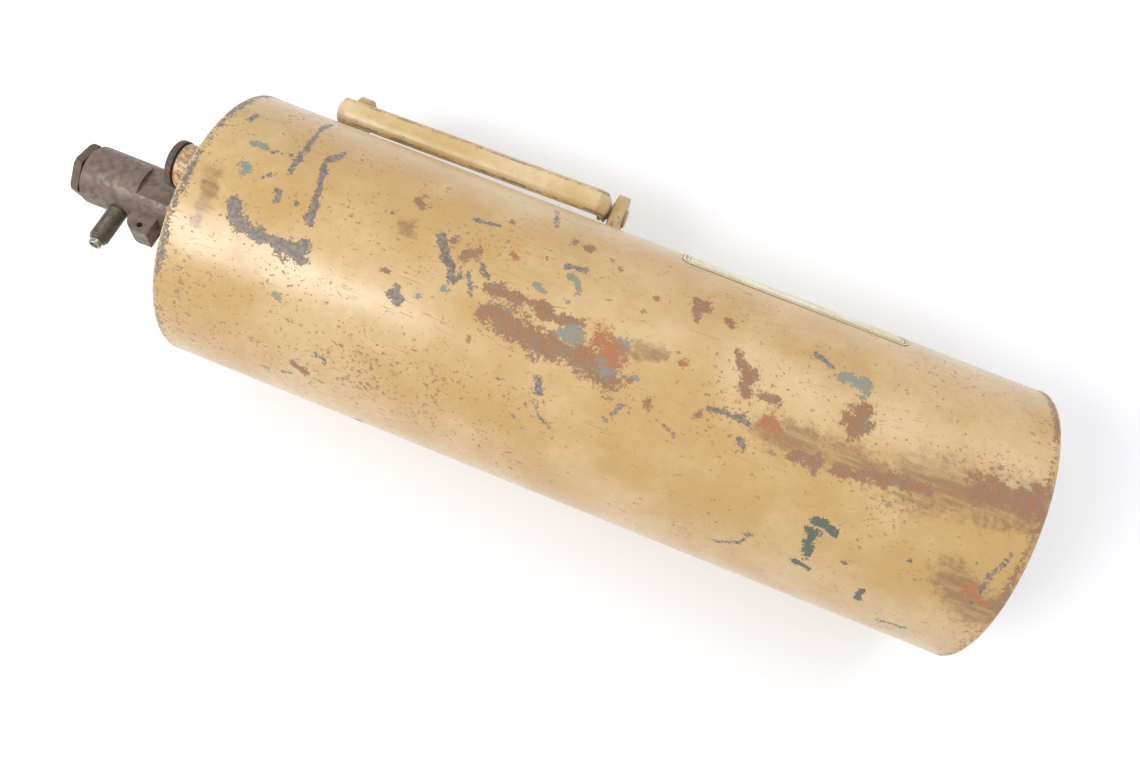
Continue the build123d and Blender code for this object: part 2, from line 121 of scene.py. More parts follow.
def rounded_line(corners: Sequence[tuple[float, float]], rounds: Sequence[float], steps: int = 5) -> Array:
    """An open line whose inner corners are replaced by arcs.

    Each arc is tangent to both sides of its corner: it starts and ends at the round's radius times the
    tangent of half the turn away from the corner, and its points turn evenly about the arc's centre.

    Args:
        corners: the line's points.
        rounds: a radius for each corner; the first and last are not used.
        steps: points on each arc, less one.

    Returns:
        The line's points, one row each.
    """
    made = [np.array(corners[0], float)]
    for i in range(1, len(corners) - 1):
        corner = np.array(corners[i], float)
        back = np.array(corners[i - 1], float) - corner
        ahead = np.array(corners[i + 1], float) - corner
        back /= np.linalg.norm(back)
        ahead /= np.linalg.norm(ahead)
        half_angle = math.acos(float(np.clip(back @ ahead, -1, 1))) / 2
        if rounds[i] <= 0 or half_angle > math.pi / 2 - 1e-3:
            made.append(corner)
            continue
        centre = corner + (back + ahead) / np.linalg.norm(back + ahead) * rounds[i] / math.sin(half_angle)
        start = corner + back * rounds[i] / math.tan(half_angle) - centre
        stop = corner + ahead * rounds[i] / math.tan(half_angle) - centre
        turn = math.pi - 2 * half_angle
        share = np.linspace(0, 1, steps + 1)[:, None]
        sweep = np.sin((1 - share) * turn) * start + np.sin(share * turn) * stop
        made.extend(centre + sweep / math.sin(turn))
    made.append(np.array(corners[-1], float))
    return np.array(made)


def smooth_step(low: float, high: float, value: Array) -> Array:
    """0 below low, 1 above high, and 3t squared less 2t cubed between them."""
    t = np.clip((value - low) / (high - low), 0, 1)
    return t * t * (3 - 2 * t)


def linked_object(name: str, mesh: bpy.types.Mesh) -> bpy.types.Object:
    """Makes a smooth-shaded object of a mesh and links it to the scene.

    Args:
        name: the object's name.
        mesh: its mesh.

    Returns:
        The new object.
    """
    mesh.polygons.foreach_set("use_smooth", np.ones(len(mesh.polygons), bool))
    piece = bpy.data.objects.new(name, mesh)
    bpy.context.scene.collection.objects.link(piece)
    return piece


def grid_piece(
    name: str,
    points: Array,
    closed_rows: bool = False,
    attributes: Optional[dict[str, Array]] = None,
    wrap: bool = True,
    merge: bool = False,
) -> bpy.types.Object:
    """A mesh through a grid of points, with its faces turned outwards.

    Row i and column j make the quad between (i, j), (i, j+1), (i+1, j+1) and (i+1, j). The enclosed
    volume, a sixth of the sum of each triangle's triple product, tells which way the faces look.

    Args:
        name: the piece's name.
        points: rows by columns by 3, in metres.
        closed_rows: whether the last row joins the first.
        attributes: point values by name, rows by columns.
        wrap: whether the last column joins the first.
        merge: whether points in one place are joined, as at a pole.

    Returns:
        The new object, linked to the scene.
    """
    rows, columns = points.shape[:2]
    i = np.arange(rows if closed_rows else rows - 1)[:, None]
    j = np.arange(columns if wrap else columns - 1)[None, :]
    up, along = (i + 1) % rows, (j + 1) % columns
    quads = np.stack([i * columns + j, i * columns + along, up * columns + along, up * columns + j], axis=-1)
    quads = quads.reshape(-1, 4)
    flat = points.reshape(-1, 3)
    a, b, c, d = (flat[quads[:, k]] for k in range(4))
    volume = np.einsum("ij,ij->", a, np.cross(b, c)) + np.einsum("ij,ij->", a, np.cross(c, d))
    if volume < 0:
        quads = quads[:, ::-1]
    mesh = bpy.data.meshes.new(name)
    mesh.from_pydata(flat, [], quads)
    for key, values in (attributes or {}).items():
        layer = mesh.attributes.new(key, "FLOAT", "POINT")
        layer.data.foreach_set("value", np.ascontiguousarray(values, np.float32).ravel())
    if merge:
        work = bmesh.new()
        work.from_mesh(mesh)
        bmesh.ops.remove_doubles(work, verts=work.verts, dist=POLE_GAP)
        work.to_mesh(mesh)
        work.free()
    return linked_object(name, mesh)


def softened_copy(name: str, node: str, edge: float, flat_angle: float = 0.6) -> bpy.types.Object:
    """A copy of a CAD node with its sharp edges rounded a little, as a file and wear leave them.

    Args:
        name: the piece's name.
        node: the CAD node to copy.
        edge: the width of the rounded edge, in mm.
        flat_angle: faces that meet at less than this many degrees are made one.

    Returns:
        The new object, with a live bevel.
    """
    work = bmesh.new()
    work.from_mesh(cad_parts[node].data)
    bmesh.ops.remove_doubles(work, verts=work.verts, dist=WELD_GAP)
    bmesh.ops.dissolve_limit(work, angle_limit=math.radians(flat_angle), verts=work.verts, edges=work.edges)
    work.verts.index_update()
    places = [tuple(v.co) for v in work.verts]
    faces = [[v.index for v in f.verts] for f in work.faces]
    work.free()
    mesh = bpy.data.meshes.new(name)
    mesh.from_pydata(places, [], faces)
    piece = linked_object(name, mesh)
    bevel = piece.modifiers.new("worn edges", "BEVEL")
    bevel.width = edge * MM
    bevel.segments = 2
    bevel.limit_method = "ANGLE"
    bevel.angle_limit = math.radians(SHARP_ANGLE)
    bevel.harden_normals = True
    return piece


def settle(piece: bpy.types.Object, body: str, node: str, material: bpy.types.Material) -> None:
    """Puts a finished piece on its body, in the place of its CAD node, and dresses it.

    Args:
        piece: the new piece.
        body: the CAD body that it rides on.
        node: the CAD node that it stands for.
        material: its material.
    """
    piece.data.materials.clear()
    piece.data.materials.append(material)
    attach(piece, body)
    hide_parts(node)
    log.info("piece %s on %s: %d faces", piece.name, body, len(piece.data.polygons))


def soften(name: str, node: str, edge: float, body: str, material: bpy.types.Material) -> None:
    """Puts a softened copy of a CAD node in the node's place; edge is its rounding, in mm."""
    settle(softened_copy(name, node, edge), body, node, material)


def dress_nodes(material: bpy.types.Material, *nodes: str) -> None:
    """Gives CAD nodes, whose shapes stay as they are, their finish.

    Args:
        material: the finish.
        nodes: the nodes' names.
    """
    for node in nodes:
        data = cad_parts[node].data
        data.materials.clear()
        data.materials.append(material)
        log.info("node %s: %s", node, material.name)


# ---------------------------------------------------------------- wear marks on the barrel


class Wear(Enum):
    """What is seen where the paint is marked. The value is the name of the mesh's attribute."""

    BARE = "bare"
    PRIMER = "primer"
    RUST = "rust"
    ORANGE = "orange"
    STAIN = "stain"
    DARK = "dark"


def wander(x: Array, arc: Array, share: float) -> tuple[Array, Array]:
    """Moves places about by up to 1.65 mm, so that drawn marks get the ragged outline of real ones.

    Each move is a sum of slanted sines whose waves are 4 to 12 mm long, weaker the shorter they are.

    Args:
        x: places along the barrel, in mm.
        arc: places round the barrel, in mm.
        share: how much of the full move is made.

    Returns:
        The moved places.
    """
    strong, middling, weak = 0.75, 0.55, 0.35
    one = strong * np.sin(x / 2.1 + arc / 3.3) + middling * np.sin(arc / 1.3 - x / 1.9 + 2)
    one = one + weak * np.sin(x / 0.8 + 1.7 * np.sin(arc / 2.3))
    two = strong * np.sin(arc / 2.3 - x / 2.9 + 1) + middling * np.sin(x / 1.4 + arc / 1.7)
    two = two + weak * np.sin(arc / 0.7 + 1.9 * np.sin(x / 2.6))
    return x + one * share, arc + two * share


@dataclass(frozen=True)
class Mark:
    """One worn place on the barrel.

    Attributes:
        wear: what is seen there.
        half_width: half its width, in mm.
        line: the places that it runs through, each as x in mm from the barrel's middle and psi in degrees.
    """

    wear: Wear
    half_width: float
    line: tuple[tuple[float, float], ...]

    def depth(self, x: Array, arc: Array, radius: float) -> Array:
        """How far inside the mark each place lies.

        The value is one half on the mark's edge. It rises inwards and falls outwards by the distance to
        the edge over twice the half width, or over 3 mm for a narrow mark, and stays from 0 to 1. A narrow
        mark wanders less, so that scratches stay slender.

        Args:
            x: places along the barrel, in mm.
            arc: places round the barrel, in mm from the top line.
            radius: the barrel's radius, in mm.

        Returns:
            The value at each place.
        """
        x, arc = wander(x, arc, min(1.0, 0.12 + self.half_width * 0.36))
        stops = [np.array([px, math.radians(angle) * radius]) for px, angle in self.line]
        nearest = np.full(np.broadcast(x, arc).shape, np.inf)
        for start, stop in zip(stops, stops[1:] or stops):
            run = stop - start
            length = float(run @ run) or 1.0
            share = np.clip(((x - start[0]) * run[0] + (arc - start[1]) * run[1]) / length, 0, 1)
            gap = np.hypot(x - start[0] - share * run[0], arc - start[1] - share * run[1])
            nearest = np.minimum(nearest, gap)
        return np.clip(0.5 + (self.half_width - nearest) / max(2 * self.half_width, 3.0), 0, 1)


# for each kind of wear, rows of half the width in mm and the places that the mark runs through
MARK_ROWS = {
    Wear.BARE: (
        (3.1, (-141, -4), (-135, -10)), (1.9, (-133, -11), (-119, -10)), (3.3, (-119, -12), (-111, -11)),
        (1.0, (-131, 56), (-129, 32), (-128, 17)),
        (1.3, (-116, 36), (-119, 28), (-117, 19), (-115, 10), (-113, 1)), (1.2, (-154, 34), (-153, 39)),
        (0.7, (-139, 23), (-131, 25)), (0.6, (-136, 11), (-133, 14)), (1.0, (-120, 6)),
        (1.2, (-129, 7), (-127, 4)), (2.0, (-75, -12), (-72, -14)), (1.0, (-96, -48), (-93, -49)),
        (1.0, (-87, 17)), (0.7, (-118, -67), (-115, -67)), (0.7, (-110, -66), (-106, -64)),
        (1.3, (-68, 15), (-62, 7), (-57, 0)), (1.0, (-56, 5), (-55, 2)), (1.0, (-52, 5), (-49, -2)),
        (1.0, (-50, 10), (-46, 6)), (0.8, (-60, 28), (-51, 29)), (0.6, (-36, 56), (-32, 41)),
        (1.1, (-22, 22), (-15, 24)), (1.6, (-16, -23), (-14, -27)), (0.4, (-14, -31), (-11, -36), (-5, -40)),
        (1.2, (13, -25), (15, -21)), (0.7, (11, -28)), (0.7, (-20, -40)), (1.0, (43, -9), (58, -9)),
        (1.2, (72, 26), (79, 24)), (1.3, (57, -16), (59, -18)), (0.8, (64, -63), (72, -57), (75, -51)),
        (0.7, (157, -18), (154, -29), (153, -42)), (1.1, (108, -46)), (0.9, (132, -72), (141, -70)),
        (3.0, (-120, 120), (-98, 124)), (1.4, (70, -100), (92, -104), (110, -100)),
        (1.8, (-84, -95), (-80, -88)),
    ),
    Wear.PRIMER: (
        (1.2, (-147, 23), (-141, 24)), (1.7, (-145, 13), (-143, 11)), (1.0, (-66, -10)),
        (1.0, (-117, -30), (-114, -30)), (3.6, (7, 0), (5, -9)), (2.4, (-14, -4), (-7, -2)),
        (0.9, (-29, 10), (-25, 9)), (0.9, (-19, 19), (-16, 18), (-14, 13)), (1.2, (-16, 8)), (1.1, (16, -9)),
        (1.7, (-58, -4)), (2.8, (85, 21), (92, 21)), (1.7, (92, 16)), (2.0, (-20, -120), (-12, -114)),
    ),
    Wear.RUST: (
        (1.9, (-104, -57), (-101, -60)), (3.1, (-80, 26)), (0.8, (-82, -5), (-79, -6)), (1.7, (-63, 15)),
        (2.6, (-56, 10), (-54, 14)), (2.4, (-45, 2), (-37, 3), (-27, 3), (-17, 1), (-10, 2)),
        (4.8, (-40, -6), (-31, -8), (-20, -10), (-9, -9), (1, -10), (8, -13)), (1.6, (-47, 34)),
        (2.0, (-23, 36)), (1.8, (-17, 36)), (1.0, (-30, 23)), (0.9, (-8, 34)), (0.8, (-3, 31)),
        (0.9, (10, 16)), (0.8, (27, 6)), (2.5, (23, -16)), (1.1, (14, -11)), (0.5, (29, -20), (36, -24)),
        (0.9, (-54, -15)), (1.0, (-44, -18)), (0.5, (-30, -28), (-27, -28)), (1.3, (26, 30), (29, 22)),
        (1.6, (41, -13)), (3.1, (29, 29)), (1.9, (29, 21)), (2.1, (41, 25)), (1.6, (47, 14), (49, 10)),
        (2.9, (52, 8), (54, 2)), (1.9, (59, 2), (65, 2)), (2.7, (76, -14), (84, -14)),
        (2.2, (93, -13), (101, -12), (111, -9), (123, -8)), (3.6, (94, 10), (93, 3)), (2.1, (88, 5)),
        (4.8, (140, -1), (149, 0), (156, 1)), (2.2, (158, 6), (162, -2)), (1.0, (106, 71), (130, 71)),
        (3.4, (-60, 165), (-42, 158), (-30, 160)), (2.6, (30, -140), (48, -134)),
        (1.8, (-130, -110), (-124, -104)), (2.2, (128, -120), (136, -126)),
    ),
    Wear.ORANGE: (
        (4.2, (0, 0), (6, -4)), (1.9, (-41, 18)), (1.4, (13, 24)), (1.4, (30, 2)), (1.0, (-12, -30)),
        (2.8, (65, -5), (67, -9)), (2.2, (150, -36), (156, -40)),
    ),
    Wear.STAIN: (
        (2.8, (-80, 13)), (2.8, (-153, 5), (-151, -4), (-152, -13)), (2.5, (13, 1), (22, 3)),
        (5.0, (65, -9), (76, -8), (87, -8), (104, -9)),
        (8.6, (118, -7), (131, -3), (143, -3), (156, 0), (162, 0)), (6.5, (143, -35), (155, -44), (165, -37)),
        (5.0, (120, 160), (140, 166)), (4.0, (-140, -150), (-128, -158)),
    ),
    Wear.DARK: (
        (1.6, (92, -34), (100, -35)), (2.3, (94, -39), (95, -49)), (0.9, (93, -55), (99, -56)),
        (1.2, (119, -56), (120, -62)), (1.0, (128, -35)),
    ),
}
BARREL_MARKS = tuple(
    Mark(wear, half_width, tuple(line)) for wear, rows in MARK_ROWS.items() for half_width, *line in rows
)


# ---------------------------------------------------------------- finishes


def linear(code: str) -> tuple[float, float, float, float]:
    """Turns an sRGB hex colour such as "#D9B878" into linear red, green, blue and 1."""
    parts = [int(code[k : k + 2], 16) / 255 for k in (1, 3, 5)]
    return tuple(c / 12.92 if c <= 0.04045 else ((c + 0.055) / 1.055) ** 2.4 for c in parts) + (1.0,)


def per(size: float) -> float:
    """The noise scale, in cells a metre, whose cells are about this many mm."""
    return 1 / (size * MM)


def add_node(
    tree: bpy.types.NodeTree,
    kind: str,
    settings: Optional[dict[str, Any]] = None,
    inputs: Optional[dict[Any, Any]] = None,
) -> bpy.types.Node:
    """Adds a shader node.

    Args:
        tree: the material's node tree.
        kind: the node's type, without its ShaderNode prefix.
        settings: its properties by name.
        inputs: for each input's name or number, a value or the socket that feeds it.

    Returns:
        The new node.
    """
    node = tree.nodes.new("ShaderNode" + kind)
    for key, value in (settings or {}).items():
        setattr(node, key, value)
    for key, value in (inputs or {}).items():
        if isinstance(value, bpy.types.NodeSocket):
            tree.links.new(value, node.inputs[key])
        else:
            node.inputs[key].default_value = value
    return node


class Bench:
    """A new material, and the few chains of nodes that its finishes share."""

    def __init__(self, name: str) -> None:
        """Starts an empty material of that name."""
        self.material = bpy.data.materials.new(name)
        self.material.use_nodes = True
        self.tree = self.material.node_tree
        self.tree.nodes.clear()
        self.place = add_node(self.tree, "TexCoord").outputs["Object"]

    def grain(
        self, size: float, detail: float = 3.0, stretch: Optional[tuple[float, ...]] = None, offset: float = 0.0
    ) -> Any:
        """Noise whose cells are size mm.

        Args:
            size: the cells' size, in mm.
            detail: how many finer layers it has.
            stretch: how much the pattern is squeezed along x, y and z.
            offset: moves the pattern, in metres, so that two layers differ.

        Returns:
            The noise's value, about 0.5 on average.
        """
        place = self.place
        if stretch or offset:
            moved = (offset, offset * 0.7, -offset)
            inputs = {"Vector": place, "Location": moved, "Scale": stretch or (1, 1, 1)}
            place = add_node(self.tree, "Mapping", None, inputs).outputs[0]
        inputs = {"Vector": place, "Scale": per(size), "Detail": detail, "Roughness": 0.6}
        return add_node(self.tree, "TexNoise", None, inputs).outputs["Fac"]

    def scratches(self, layers: Sequence[tuple[float, float]], length: float = 14, width: float = 0.35) -> Any:
        """Short scratches that cross each other, gathered in patches.

        Args:
            layers: each layer's direction, in radians from the barrel's axis, and its offset in metres.
            length: how many times longer than wide a scratch is.
            width: a scratch's width, in mm; a real one is 0.1 mm, too thin to show.

        Returns:
            The scratches' mask, 0 to 1.
        """
        found = 0.0
        for turn, offset in layers:
            inputs = {
                "Vector": self.place, "Location": (offset, offset, offset), "Rotation": (0, 0, turn),
                "Scale": (length, 1, 1),
            }
            turned = add_node(self.tree, "Mapping", {"vector_type": "TEXTURE"}, inputs).outputs[0]
            inputs = {"Vector": turned, "Scale": per(width * 2), "Detail": 1.0}
            lines = add_node(self.tree, "TexNoise", None, inputs).outputs["Fac"]
            patch = self.ramp(self.grain(17, 2, None, offset), 0.5, 0.62)
            line = self.times(self.ramp(lines, 0.7, 0.76), patch)
            found = self.most(found, line)
        return found

    def mix(self, share: Any, low: Any, high: Any) -> Any:
        """Mixes two colours, each a socket or a hex colour, by share."""
        low, high = (linear(colour) if isinstance(colour, str) else colour for colour in (low, high))
        return add_node(self.tree, "Mix", {"data_type": "RGBA"}, {0: share, 6: low, 7: high}).outputs[2]

    def blend(self, share: Any, low: Any, high: Any) -> Any:
        """Mixes two numbers by share."""
        return add_node(self.tree, "Mix", {"data_type": "FLOAT"}, {0: share, 2: low, 3: high}).outputs[0]

    def ramp(self, value: Any, low: float, high: float, top: float = 1.0) -> Any:
        """0 where value is under low, top where it is over high, and a smooth rise between them."""
        settings = {"interpolation_type": "SMOOTHSTEP"}
        inputs = {"Value": value, "From Min": low, "From Max": high, "To Max": top}
        return add_node(self.tree, "MapRange", settings, inputs).outputs[0]

    def sum(self, first: Any, second: Any, operation: str = "ADD") -> Any:
        """Two numbers added, or put through another operation."""
        return add_node(self.tree, "Math", {"operation": operation}, {0: first, 1: second}).outputs[0]

    def times(self, first: Any, second: Any) -> Any:
        """The first number times the second."""
        return self.sum(first, second, "MULTIPLY")

    def less(self, first: Any, second: Any) -> Any:
        """The first number less the second."""
        return self.sum(first, second, "SUBTRACT")

    def most(self, *values: Any) -> Any:
        """The largest of some numbers.

        Args:
            values: the numbers or the sockets that carry them.

        Returns:
            The largest.
        """
        first, *others = values
        for other in others:
            first = self.sum(first, other, "MAXIMUM")
        return first

    def worn(self, kind: str, jitter: Any, soft: float = 0.03) -> Any:
        """The mask of a mesh's wear attribute, with its edge broken by jitter.

        Args:
            kind: the attribute's name.
            jitter: a number that moves the edge.
            soft: how soft the edge is.

        Returns:
            The mask, 0 to 1.
        """
        depth = add_node(self.tree, "Attribute", {"attribute_name": kind}).outputs["Fac"]
        return self.ramp(self.sum(depth, jitter), 0.5 - soft, 0.5 + soft)

    def finish(
        self, colour: Any, roughness: Any, height: Any, relief: float, constants: dict[str, Any]
    ) -> bpy.types.Material:
        """Joins the layers to the surface.

        Args:
            colour: the base colour.
            roughness: the roughness.
            height: the bump's height, 0 to 1.
            relief: how high 1 is, in mm.
            constants: numbers that are the same all over, by the shader's own input names.

        Returns:
            The finished material.
        """
        bump = add_node(self.tree, "Bump", None, {"Height": height, "Distance": relief * MM, "Strength": 1.0})
        inputs = {"Base Color": colour, "Roughness": roughness, "Normal": bump.outputs[0], **constants}
        shader = add_node(self.tree, "BsdfPrincipled", None, inputs)
        add_node(self.tree, "OutputMaterial", None, {"Surface": shader.outputs[0]})
        return self.material


@dataclass(frozen=True)
class WornEnamel:
    """Brushed-out enamel on sheet steel, ochre over a blue-grey primer, chipped and rusted.

    It gives the eye a satin sheen on warm paint, dull grey-brown steel in the chips, blue-grey primer
    at their edges, and matt orange to brown rust that has eaten into the sheet.
    """

    name: str = "worn_ochre_enamel"
    paint: str = "#B7945C"
    paint_pale: str = "#C3A777"
    paint_deep: str = "#A9864E"
    steel: str = "#82766A"
    steel_dark: str = "#695D54"
    primer: str = "#85806C"
    primer_blue: str = "#7C8079"
    green_dark: str = "#585C4E"
    rust_brown: str = "#8B6A4D"
    rust_orange: str = "#A46B45"
    stain: str = "#876743"
    scratch: str = "#7A5C3E"
    halo: str = "#B98548"
    speck_cover: float = 0.62
    gloss: float = 0.28
    chalk: float = 0.22
    chip_depth: float = 0.09

    def material(self) -> bpy.types.Material:
        """Builds the material."""
        b = Bench(self.name)
        cloudy = b.ramp(b.grain(38, 3), 0.36, 0.66)
        mottle = b.ramp(b.grain(3.2, 4), 0.34, 0.68)
        colour = b.mix(cloudy, self.paint, self.paint_pale)
        colour = b.mix(b.times(mottle, 0.2), colour, self.paint_deep)
        # rub marks run along the barrel; the real ones are 0.1 mm wide and are drawn about 0.4 mm wide to show
        rubs = b.ramp(b.grain(0.9, 2, (0.035, 1, 1)), 0.66, 0.74)
        rub_zone = b.ramp(b.grain(45, 2, None, 0.31), 0.46, 0.62)
        rub_mask = b.times(rubs, rub_zone)
        colour = b.mix(b.times(rub_mask, 0.55), colour, self.stain)
        scratches = b.scratches(((0.25, 0.12), (-0.55, 0.37), (1.15, 0.71), (0.02, 0.93)))
        colour = b.mix(b.times(scratches, 0.6), colour, self.scratch)

        edge_noise = b.grain(2.4, 6, None, 0.11)
        jitter = b.times(b.less(edge_noise, 0.5), 1.25)
        fine = b.grain(0.8, 3, None, 0.23)
        fine_jitter = b.sum(jitter, b.times(b.less(fine, 0.5), 1.2))

        stain = b.worn(Wear.STAIN.value, jitter, 0.28)
        streaks = b.ramp(b.grain(2.2, 5, (0.12, 1, 1), 0.77), 0.34, 0.58)
        stain = b.times(stain, b.blend(streaks, 0.45, 1.0))
        colour = b.mix(b.times(stain, 0.85), colour, self.stain)

        # small flakes of paint lost all over, 0.5 to 2 mm across, thicker in some places than in others
        crowd = b.grain(26, 3, None, 0.57)
        density = add_node(b.tree, "Attribute", {"attribute_name": "speckle"}).outputs["Fac"]
        level = b.sum(b.times(crowd, 0.34), b.times(density, 0.1))
        flakes = b.sum(b.grain(1.5, 3, (0.8, 1, 1), 0.83), level)
        specks = b.ramp(flakes, self.speck_cover + 0.24, self.speck_cover + 0.28, 0.8)
        speck_kind = b.ramp(b.grain(9, 1, None, 0.47), 0.42, 0.58)
        speck_colour = b.mix(speck_kind, self.rust_brown, self.steel)
        dark = b.worn(Wear.DARK.value, fine_jitter, 0.06)

        primer = b.worn(Wear.PRIMER.value, fine_jitter, 0.09)
        bare = b.worn(Wear.BARE.value, fine_jitter, 0.07)
        rust = b.worn(Wear.RUST.value, fine_jitter, 0.13)
        orange = b.worn(Wear.ORANGE.value, fine_jitter, 0.18)

        steel = b.mix(b.ramp(b.grain(1.6, 4), 0.38, 0.62), self.steel, self.steel_dark)
        rusty = b.ramp(b.grain(0.9, 3, None, 0.71), 0.5, 0.62, 0.8)
        rusting = b.mix(rusty, self.rust_brown, self.rust_orange)
        rusting = b.mix(b.ramp(b.grain(3.4, 4, None, 0.37), 0.5, 0.6, 0.45), rusting, self.steel)
        orange_grain = b.mix(rusty, self.rust_orange, self.rust_brown)
        primed = b.mix(b.ramp(b.grain(7, 2, None, 0.91), 0.45, 0.55), self.primer, self.primer_blue)

        halo = b.ramp(flakes, self.speck_cover + 0.17, self.speck_cover + 0.26, 0.5)
        colour = b.mix(halo, colour, self.halo)
        colour = b.mix(specks, colour, speck_colour)
        colour = b.mix(bare, colour, steel)
        colour = b.mix(rust, colour, rusting)
        colour = b.mix(primer, colour, primed)
        colour = b.mix(dark, colour, self.green_dark)
        colour = b.mix(orange, colour, orange_grain)

        chipped = b.most(bare, specks, rust, primer, orange, dark)
        corroded = b.most(rust, orange)
        roughness = b.blend(b.grain(6, 3, None, 0.19), self.gloss - 0.06, self.gloss + 0.1)
        roughness = b.blend(chipped, roughness, 0.56)
        roughness = b.blend(corroded, roughness, 0.82)
        skin = b.times(b.grain(1.1, 2, None, 0.05), 0.05)
        height = b.sum(b.less(1.0, chipped), skin)
        height = b.sum(height, b.times(b.times(fine, corroded), 0.9))
        grooves = b.most(b.times(rub_mask, 0.3), b.times(scratches, 0.4))
        height = b.less(height, grooves)
        constants = {"IOR": 1.55, "Sheen Weight": self.chalk, "Sheen Roughness": 0.4}
        return b.finish(colour, roughness, height, self.chip_depth, constants)


@dataclass(frozen=True)
class Patina:
    """A metal that has dulled in the open: two base tones, stains, pin-point specks and pits.

    It gives the eye an uneven, cloudy metal whose worn places shine a little more than the rest.
    """

    name: str
    base: str
    cloud: str
    stain: str
    speck: str
    bright: str = "#A09A92"
    cloud_size: float = 4.0
    speck_size: float = 0.8
    stain_share: float = 0.5
    metallic: float = 0.5
    roughness: float = 0.5
    relief: float = 0.05

    def material(self) -> bpy.types.Material:
        """Builds the material."""
        b = Bench(self.name)
        clouds = b.ramp(b.grain(self.cloud_size, 4), 0.38, 0.62)
        colour = b.mix(clouds, self.base, self.cloud)
        stains = b.ramp(b.grain(self.cloud_size * 1.7, 5, None, 0.29), 0.5, 0.64, self.stain_share)
        colour = b.mix(stains, colour, self.stain)
        specks = b.ramp(b.grain(self.speck_size, 3, None, 0.13), 0.62, 0.7, 0.8)
        colour = b.mix(specks, colour, self.speck)
        bright = b.worn("bright", b.times(b.less(b.grain(1.2, 3), 0.5), 0.4), 0.06)
        colour = b.mix(bright, colour, self.bright)
        roughness = b.blend(clouds, self.roughness - 0.07, self.roughness + 0.07)
        roughness = b.blend(specks, roughness, min(self.roughness + 0.25, 0.95))
        roughness = b.blend(bright, roughness, self.roughness * 0.6)
        height = b.less(b.grain(self.speck_size * 1.4, 4, None, 0.41), b.times(specks, 0.5))
        return b.finish(colour, roughness, height, self.relief, {"Metallic": self.metallic})


@dataclass(frozen=True)
class TransferFilm:
    """A cream water-slide label with a double blue-grey border line and nothing printed inside it.

    It gives the eye a smooth, slightly yellowed film whose rubbed border lines follow its edge.
    """

    name: str = "cream_transfer_film"
    film: str = "#DFD8BC"
    aged: str = "#C9BA8E"
    ink: str = "#66727A"
    worn: str = "#B98F4A"
    outer_line: tuple[float, float] = (1.0, 1.9)
    inner_line: tuple[float, float] = (2.7, 3.1)
    line_soft: float = 0.08

    def material(self) -> bpy.types.Material:
        """Builds the material; the mesh's from_edge attribute is the distance to the film's edge in mm."""
        b = Bench(self.name)
        from_edge = add_node(b.tree, "Attribute", {"attribute_name": "from_edge"}).outputs["Fac"]
        colour = b.mix(b.ramp(b.grain(14, 4), 0.4, 0.65, 0.8), self.film, self.aged)
        rubbed = b.ramp(b.grain(1.3, 4, (0.25, 1, 1), 0.17), 0.6, 0.68)
        for line in (self.outer_line, self.inner_line):
            past = [b.ramp(from_edge, side - self.line_soft, side + self.line_soft) for side in line]
            inked = b.times(b.less(*past), b.less(1.0, rubbed))
            colour = b.mix(b.times(inked, 0.9), colour, self.ink)
        torn_edge = b.less(1.0, b.ramp(b.sum(from_edge, b.grain(2.6, 4, None, 0.53)), 0.75, 0.95))
        flaked = b.most(b.ramp(b.grain(2.8, 4, None, 0.63), 0.66, 0.69), torn_edge)
        colour = b.mix(flaked, colour, self.worn)
        roughness = b.blend(flaked, 0.42, 0.6)
        height = b.sum(b.less(1.0, flaked), b.times(b.grain(0.8, 2), 0.1))
        return b.finish(colour, roughness, height, 0.04, {"IOR": 1.48})


@dataclass(frozen=True)
class StudioPaper:
    """White background paper under the object, with the faint tooth of matt card."""

    name: str = "white_background_paper"
    white: str = "#F6F6F7"
    shade: str = "#F1F1F3"

    def material(self) -> bpy.types.Material:
        """Builds the material."""
        b = Bench(self.name)
        colour = b.mix(b.grain(400, 2), self.white, self.shade)
        return b.finish(colour, 0.9, b.grain(1.5, 2), 0.01, {"Specular IOR Level": 0.2})


